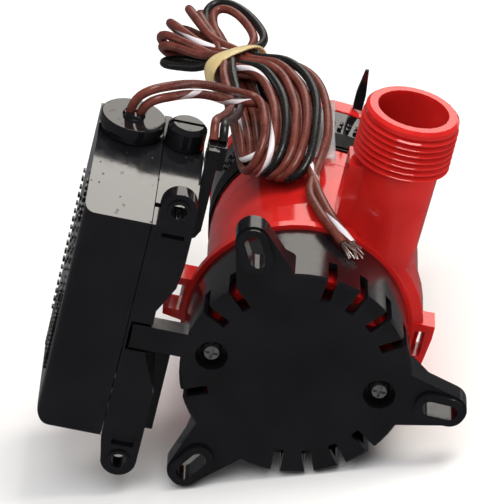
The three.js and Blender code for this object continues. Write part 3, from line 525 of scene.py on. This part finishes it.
MOTOR_A = metres([
    (27.35, 67.7, 34), (27.3, 71, 34.3), (25.5, 76.5, 39), (20, 79, 50),
    (12, 77.5, 62), (6.4, 72.6, 70), (5.4, 71.4, 74.9),
])
MOTOR_B = metres([
    (30.3, 67.7, 33), (30.4, 71.4, 33.4), (29, 77.4, 38.6), (23.6, 80, 50.6),
    (15.4, 78.4, 62.6), (9.8, 73, 70), (8.8, 71.2, 74.9),
])
TAIL_A = metres([
    (21.2, -10.6, 78.4), (23, -17, 78.2), (25.6, -27.5, 78.9), (29, -35.5, 77.7), (32.6, -41.5, 74.9),
])
TAIL_B = metres([
    (24.1, -9.2, 78.2), (25.8, -16, 77.8), (28.4, -26.4, 78.1), (31.9, -34.5, 76.8),
    (35.4, -40.4, 73.9),
])

# %% The four leads
leads = [
    lead("switch_lead_brown", SWITCH_A[:-1] + turns([5, 9, 2])
         + [waist_slot(5, 2, -0.004), waist_slot(5, 2, 0.003)] + front_turn(0, True)[:6] + TAIL_A,
         "brown", ["switch_lead_a", "hank_front", "tail_lead_a"]),
    lead("switch_lead_striped", SWITCH_B[:-1] + turns([11, 4])
         + [waist_slot(4, 2, -0.004), waist_slot(4, 2, 0.003)] + front_turn(1, True)[:6] + TAIL_B,
         "striped", ["switch_lead_b", "hank_rear", "tail_lead_b"]),
    lead("motor_lead_brown", MOTOR_A + turns([1, 8, 10], "waist")
         + [waist_slot(0.6, 3.5, -0.004), waist_slot(0.6, 3.5, 0.003)] + LINK_A,
         "brown", ["motor_lead_a", "link_lead_a"]),
    lead("motor_lead_black", MOTOR_B + turns([0, 3], "waist")
         + [waist_slot(1.7, 3.5, -0.004), waist_slot(1.7, 3.5, 0.003)] + LINK_B,
         "black", ["motor_lead_b", "link_lead_b", "hank_loop"]),
]
print(len(leads), "leads in the hank")

# %% [markdown]
# The two tail ends are stripped, and their tinned strands fan out a little.


# %% Stripped ends
STRAND_DIAMETER = 0.00055
STRAND_RING = 0.00062


def stripped_end(name, end, ahead):
    """A few thin strands that leave the cut end of a lead."""
    strands = []
    side = ahead.cross(UP).normalized()
    lift = side.cross(ahead)
    for number in range(7):
        angle = 2 * math.pi * number / 6
        ring = 0.0 if number == 6 else STRAND_RING
        root = end - ahead * 0.002 + (side * math.cos(angle) + lift * math.sin(angle)) * ring
        splay = (side * math.cos(angle) + lift * math.sin(angle)) * jitter.uniform(0.0002, 0.0009)
        reach = jitter.uniform(0.006, 0.0095)
        path = [root, root + ahead * reach * 0.5 + splay * 0.4, root + ahead * reach + splay * 1.6]
        strands.append(tube("strand", smooth(path, 0.001), STRAND_DIAMETER))
    bpy.ops.object.select_all(action="DESELECT")
    for strand in strands:
        strand.select_set(True)
    bpy.context.view_layer.objects.active = strands[0]
    bpy.ops.object.join()
    strands[0].name = name
    return finished(strands[0], tinned)


tinned = metal("tinned_copper", (0.66, 0.64, 0.62), 0.32, 1600)
for name, tail in {"tail_strands_a": TAIL_A, "tail_strands_b": TAIL_B}.items():
    stripped_end(name, tail[-1], (tail[-1] - tail[-2]).normalized())
print("two tails stripped")

# %% [markdown]
# ## The rubber band
# A pale, slightly see-through rubber band is stretched round the waist of the hank. It is wide
# where it lies flat on the left and twists narrower at the top right. Its width, lean and place
# change all the way round, so it is written as a loop of rings in mesh code.


# %% Rubber band
def band_material():
    material, tree, principled = shader("band_rubber", (0.72, 0.55, 0.26), 0.32)
    tint = ramp(tree, noise(tree, 130, 3), [(0.3, (0.70, 0.50, 0.20)), (0.7, (0.83, 0.70, 0.42))])
    tree.links.new(tint, principled.inputs["Base Color"])
    principled.inputs["Transmission Weight"].default_value = 0.25
    principled.inputs["Subsurface Weight"].default_value = 0.25
    principled.inputs["Subsurface Scale"].default_value = 0.003
    bump(tree, principled, noise(tree, 1400, 2), 0.5, 0.00005)
    return material


BAND_RINGS = 64
BAND_CORNERS = 12
BAND_HALF_THICKNESS = 0.55 * MM


def rubber_band():
    half_across, half_up = 11.0 * MM, 7.4 * MM
    rings = []
    for step in range(BAND_RINGS):
        angle = 2 * math.pi * step / BAND_RINGS
        across = half_across * math.copysign(abs(math.cos(angle)) ** 0.7, math.cos(angle))
        up = half_up * math.copysign(abs(math.sin(angle)) ** 0.7, math.sin(angle))
        flat = 0.5 + 0.5 * math.cos(angle - math.radians(165))
        half_width = between(1.5, 3.9, flat) * MM
        slide = between(-1.2, 0.8, flat) * MM
        centre = WAIST + ACROSS * across + UP * up + FORWARD * slide
        outward = (ACROSS * math.cos(angle) / half_across + UP * math.sin(angle) / half_up).normalized()
        lean = (1 - flat) * 0.5
        along = (FORWARD * math.cos(lean) + outward * math.sin(lean)).normalized()
        normal = (outward - along * outward.dot(along)).normalized()
        ring = []
        for corner in range(BAND_CORNERS):
            turn = 2 * math.pi * corner / BAND_CORNERS
            wide = math.copysign(abs(math.cos(turn)) ** 0.5, math.cos(turn)) * half_width
            deep = math.copysign(abs(math.sin(turn)) ** 0.8, math.sin(turn)) * BAND_HALF_THICKNESS
            ring.append(centre + along * wide + normal * deep)
        rings.append(ring)
    mesh = bpy.data.meshes.new("rubber_band_visual")
    build = bmesh.new()
    made = [[build.verts.new(p) for p in ring] for ring in rings]
    for a, b in zip(made, made[1:] + made[:1]):
        for k in range(BAND_CORNERS):
            after = (k + 1) % BAND_CORNERS
            build.faces.new((a[k], b[k], b[after], a[after]))
    bmesh.ops.recalc_face_normals(build, faces=build.faces)
    build.to_mesh(mesh)
    build.free()
    piece = bpy.data.objects.new("rubber_band_visual", mesh)
    bpy.context.scene.collection.objects.link(piece)
    only(piece)
    bpy.ops.object.shade_smooth()
    return piece


band = finished(rubber_band(), band_material())
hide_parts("rubber_band")
print("band of", len(band.data.polygons), "faces")

# %% [markdown]
# ## Edges on the machine's solids
# Moulded parts have small radii on every edge, and that is where the light catches. A solid from the
# frame is loose triangles, so a copy of it is merged, its flat faces are joined, and a small bevel is
# cut along its sharp edges. The copy then stands for the solid.


# %% Softened copies
MERGE_WITHIN = 0.00002
SAME_FACE_DEGREES = 0.6
SMOOTH_DEGREES = 35


def softened(name, radius, material, body="pump", angle=38):
    """A copy of a solid with its sharp edges rounded, standing for that solid."""
    mesh = nodes[name].data.copy()
    piece = bpy.data.objects.new(name + "_moulded", mesh)
    bpy.context.scene.collection.objects.link(piece)
    only(piece)
    bpy.ops.object.mode_set(mode="EDIT")
    bpy.ops.mesh.select_all(action="SELECT")
    bpy.ops.mesh.remove_doubles(threshold=MERGE_WITHIN)
    bpy.ops.mesh.dissolve_limited(angle_limit=math.radians(SAME_FACE_DEGREES))
    bpy.ops.object.mode_set(mode="OBJECT")
    if radius:
        bevel = piece.modifiers.new("edge_radius", "BEVEL")
        bevel.width = radius * MM
        bevel.segments = 2
        bevel.limit_method = "ANGLE"
        bevel.angle_limit = math.radians(angle)
        bevel.use_clamp_overlap = True
        bevel.miter_outer = "MITER_ARC"
        bpy.ops.object.modifier_apply(modifier=bevel.name)
    bpy.ops.object.shade_smooth_by_angle(angle=math.radians(SMOOTH_DEGREES))
    flat = piece.modifiers.new("flat_faces", "WEIGHTED_NORMAL")
    flat.mode = "FACE_AREA"
    flat.weight = 80
    flat.keep_sharp = True
    bpy.ops.object.modifier_apply(modifier=flat.name)
    finished(piece, finishes[material], body)
    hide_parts(name)
    return piece


moulded = {}
for name, radius, material, slot in [
    ("strainer_base", 0.35, "black_plastic", "black_plastic"),
    ("pump_housing", 0.3, "red_plastic", "red_plastic"),
    ("cartridge_shell", 0.3, "red_plastic", "red_plastic"),
    ("lock_collar", 0.3, "gloss_black", "gloss_black"),
    ("rear_cap", 0.4, "red_plastic", "red_plastic"),
    ("switch_housing", 0.5, "gloss_black", "gloss_black"),
    ("switch_cover", 0.4, "gloss_black", "black_plastic"),
    ("switch_bracket", 0.3, "gloss_black", "black_plastic"),
    ("cable_cap", 0.3, "gloss_black", "gloss_black"),
    ("lead_connector", 0.25, "gloss_black", "gloss_black"),
    ("base_screw_far", 0.12, "stainless", "stainless"),
    ("base_screw_near", 0.12, "stainless", "stainless"),
    ("cable_gland", 0.2, "seal_rubber", "seal_rubber"),
]:
    moulded[name] = softened(name, radius, material)
moulded["test_knob"] = softened("test_knob", 0.3, "gloss_black", "knob")
moulded["release_tab"] = softened("release_tab", 0.2, "gloss_black", "release_lever")
print({name: len(piece.data.polygons) for name, piece in moulded.items()})

# %% [markdown]
# The switch's outer side carries rows of small raised blocks, and so does the locking collar. They
# are plain blocks, all copies of one, and each set is joined into one piece. They stand on the
# surface, because a bump in a material wouldn't be there in the mesh.


# %% Raised blocks
MOTOR_X, MOTOR_Z = 17.50, 38.20
MACHINE_START = 65.44
COLLAR_RADIUS = 36.25


def machine(x, y, z):
    """A place in the machine's own directions, in the frame: x across, y down, z along the motor."""
    return Vector((
        0.943498 * x - 0.331377 * y + 12.680265,
        -0.001841 * x - 0.005241 * y + 0.999985 * z - 65.439407,
        -0.331372 * x - 0.943484 * y - 0.005555 * z + 39.917069,
    )) * MM


def block_row(name, places, size, material):
    """Small blocks at places, each a centre with its outward and along directions."""
    bpy.ops.object.select_all(action="DESELECT")
    bpy.ops.mesh.primitive_cube_add(size=1)
    pattern = bpy.context.object
    for vertex in pattern.data.vertices:
        vertex.co = Vector((vertex.co.x * size[0], vertex.co.y * size[1], vertex.co.z * size[2]))
    only(pattern)
    edge = pattern.modifiers.new("edge", "BEVEL")
    edge.width = min(size) * 0.25
    edge.segments = 2
    bpy.ops.object.modifier_apply(modifier=edge.name)
    copies = []
    for centre, outward, along, stretch in places:
        copy = pattern.copy()
        copy.data = pattern.data.copy()
        bpy.context.scene.collection.objects.link(copy)
        across = outward.cross(along).normalized()
        turn = Matrix((along, across, outward)).transposed().to_4x4()
        copy.data.transform(Matrix.Translation(centre) @ turn @ Matrix.Diagonal((stretch, 1, 1, 1)))
        copies.append(copy)
    bpy.data.objects.remove(pattern)
    bpy.ops.object.select_all(action="DESELECT")
    for copy in copies:
        copy.select_set(True)
    bpy.context.view_layer.objects.active = copies[0]
    bpy.ops.object.join()
    copies[0].name = name
    bpy.ops.object.shade_smooth_by_angle(angle=math.radians(32))
    return finished(copies[0], finishes[material])


side_out = (machine(-1, 0, 0) - machine(0, 0, 0)).normalized()
side_along = (machine(0, 1, 0) - machine(0, 0, 0)).normalized()
places = []
for start, end, deep, pitch in [
    (-50, -33, 14, 2.4), (-36, -5, 22, 4.2), (-36, -5, 27, 4.2), (2, 26, 14, 1.8), (-4, 26, 19, 1.8),
    (-4, 26, 24, 1.8), (2, 26, 29, 1.8), (-40, 20, 38, 3.2),
]:
    for step in range(int((end - start) / pitch)):
        centre = machine(-81.72, start + step * pitch, deep)
        places.append((centre, side_out, side_along, jitter.uniform(0.55, 1.1)))
block_row("switch_side_blocks", places, (0.0013, 0.0022, 0.0007), "gloss_black")

ring_places = []
for row, depth in enumerate((108.0, 111.0)):
    for step in range(22):
        angle = math.radians(-52 + step * 4.6 + row * 1.1)
        outward = Vector((math.sin(angle), 0, math.cos(angle)))
        along = Vector((math.cos(angle), 0, -math.sin(angle)))
        axis = Vector((MOTOR_X, depth - MACHINE_START, MOTOR_Z)) * MM
        centre = axis + outward * (COLLAR_RADIUS * MM)
        ring_places.append((centre, outward, along, jitter.uniform(0.6, 1.15)))
block_row("collar_blocks", ring_places, (0.0016, 0.0019, 0.0006), "gloss_black")
print(len(places), "blocks on the switch and", len(ring_places), "on the collar")

# %% [markdown]
# The front of the collar shows as a darker, duller band than the rest: shade, whose shape on the
# real one isn't known. Here that shade is painted as a thin, dull, dark open tube given a wall.

# %% Painted shade on the collar
# Painted shade: a thin, dull, dark open tube laid round the front of the collar.
SHADE_SLEEVE_RADIUS, SHADE_SLEEVE_WIDTH, SHADE_SLEEVE_MIDDLE = 36.45, 9.0, 33.6
bpy.ops.object.select_all(action="DESELECT")
bpy.ops.mesh.primitive_cylinder_add(
    vertices=96, radius=SHADE_SLEEVE_RADIUS * MM, depth=SHADE_SLEEVE_WIDTH * MM, end_fill_type="NOTHING",
    location=(MOTOR_X * MM, SHADE_SLEEVE_MIDDLE * MM, MOTOR_Z * MM), rotation=(math.pi / 2, 0, 0),
)
shade_sleeve = settle(bpy.context.object)
shade_sleeve.name = "collar_painted_shade"
wall = shade_sleeve.modifiers.new("wall", "SOLIDIFY")
wall.thickness = 0.22 * MM
wall.offset = -1
bpy.ops.object.modifier_apply(modifier=wall.name)
bpy.ops.object.shade_smooth_by_angle(angle=math.radians(32))
# The dull, dark finish of the painted shade on the collar's front.
painted_shade_finish = plastic("matt_black_painted_shade", grey(0.004), grey(0.007), (0.5, 0.65), 1800, 0.00003, specular=0.15)
finished(shade_sleeve, painted_shade_finish)
print("sleeve of", len(shade_sleeve.data.polygons), "faces")

# %% [markdown]
# The solids inside the machine keep their shape and only get a finish, so that the model is
# complete where it is opened or cut.

# %% Finishes on the solids that stay as they are
for slot, names in {
    "white_plastic": ["impeller", "float"],
    "stainless": ["motor_can", "motor_shaft", "float_pin"],
    "copper": ["armature", "commutator", "reed_switch"],
    "bronze": ["front_bushing", "rear_bushing"],
    "ferrite": ["magnet_near", "magnet_far", "brush_near", "brush_far", "float_magnet"],
    "seal_rubber": ["shaft_seal", "housing_o_ring"],
    "black_plastic": ["motor_end_bell"],
    "board": ["circuit_board"],
}.items():
    for name in names:
        nodes[name].data.materials.clear()
        nodes[name].data.materials.append(finishes[slot])
    print(slot, names)

# %% [markdown]
# ## The slip of film
# A blank slip of frosted film is caught under the hank on the right. It is a grid whose points
# follow the round shell below and curl up at one side, and it is then given a thickness.


# %% Film slip
def film_material():
    material, tree, principled = shader("frosted_film", (0.86, 0.86, 0.88), 0.4)
    principled.inputs["Transmission Weight"].default_value = 0.55
    principled.inputs["Alpha"].default_value = 0.55
    cloud = ramp(tree, noise(tree, 90, 3), [(0.3, (0.80, 0.80, 0.83)), (0.7, (0.93, 0.93, 0.95))])
    tree.links.new(cloud, principled.inputs["Base Color"])
    bump(tree, principled, noise(tree, 320, 2), 0.4, 0.0001)
    return material


def film_slip():
    bpy.ops.object.select_all(action="DESELECT")
    bpy.ops.mesh.primitive_grid_add(x_subdivisions=10, y_subdivisions=16, size=1)
    piece = bpy.context.object
    piece.name = "label_tag_visual"
    for vertex in piece.data.vertices:
        u, v = vertex.co.x + 0.5, vertex.co.y + 0.5
        across = between(20.5, 29.8, u)
        along = between(18.0, 52.0, v)
        lift = 38.45 + math.sqrt(max(0.0, 37.0 ** 2 - (across - MOTOR_X) ** 2))
        curl = 5.5 * u * u * v + 1.2 * math.sin(v * 5) * u
        vertex.co = Vector((across, along, lift + curl)) * MM
    only(piece)
    wall = piece.modifiers.new("thickness", "SOLIDIFY")
    wall.thickness = 0.35 * MM
    wall.offset = 1
    bpy.ops.object.modifier_apply(modifier=wall.name)
    bpy.ops.object.shade_smooth()
    return piece


slip = finished(film_slip(), film_material())
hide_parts("label_tag")
print("slip of", len(slip.data.polygons), "faces")

# %% [markdown]
# ## Floor and light
# A pale floor runs out of sight. A soft screen behind and a box overhead give the broad reflections
# that glossy plastic needs. A narrow strip on the left and a glow low on the right light the edges
# of the dark faces, and a large fill from the front lifts the rest. Reflections leave out the floor
# and the fill, because they turn the black plastic grey.


# %% Stage
def stage_material():
    material, tree, principled = shader("floor", (0.9, 0.9, 0.9), 0.6, specular=0.2)
    shade = ramp(tree, noise(tree, 3, 2), [(0.3, grey(0.88)), (0.7, grey(0.92))])
    tree.links.new(shade, principled.inputs["Base Color"])
    return material


bpy.ops.object.select_all(action="DESELECT")
bpy.ops.mesh.primitive_plane_add(size=12, location=(0, 0, 0))
floor = bpy.context.object
floor.name = "floor"
floor.data.materials.append(stage_material())
floor.visible_glossy = False

world = bpy.data.worlds.new("studio")
world.use_nodes = True
world.node_tree.nodes["Background"].inputs["Color"].default_value = (0.95, 0.96, 1.0, 1)
world.node_tree.nodes["Background"].inputs["Strength"].default_value = 0.14
bpy.context.scene.world = world


def softbox(name, place, aim, size, power):
    data = bpy.data.lights.new(name, "AREA")
    data.shape = "RECTANGLE"
    data.size, data.size_y = size
    data.energy = power
    lamp = bpy.data.objects.new(name, data)
    bpy.context.scene.collection.objects.link(lamp)
    lamp.location = place
    lamp.rotation_euler = (Vector(aim) - Vector(place)).to_track_quat("-Z", "Y").to_euler()
    return lamp


WARM_WHITE = (1.0, 0.95, 0.88)
screen = softbox("rear_screen", (0.24, 1.08, 0.72), (0.0, 0.0, 0.05), (0.74, 0.8), 4.6)
overhead = softbox("overhead", (0.42, 0.06, 0.98), (0, 0, 0.05), (0.52, 0.46), 7)
strip = softbox("left_strip", (-1.2, 0.06, 0.55), (0, 0, 0.05), (0.07, 0.8), 0.9)
glow = softbox("right_floor_glow", (0.60, 0.10, 0.002), (0.60, 0.10, 1.0), (0.8, 0.9), 1.9)
for lamp in (screen, overhead, strip, glow):
    lamp.data.color = WARM_WHITE
fill = softbox("soft_fill", (-0.1, -0.6, 1.3), (0, -0.1, 0.05), (1.7, 1.7), 20)
fill.visible_glossy = False
bpy.context.scene.view_settings.view_transform = "Standard"
print("five soft lights over a plain floor")
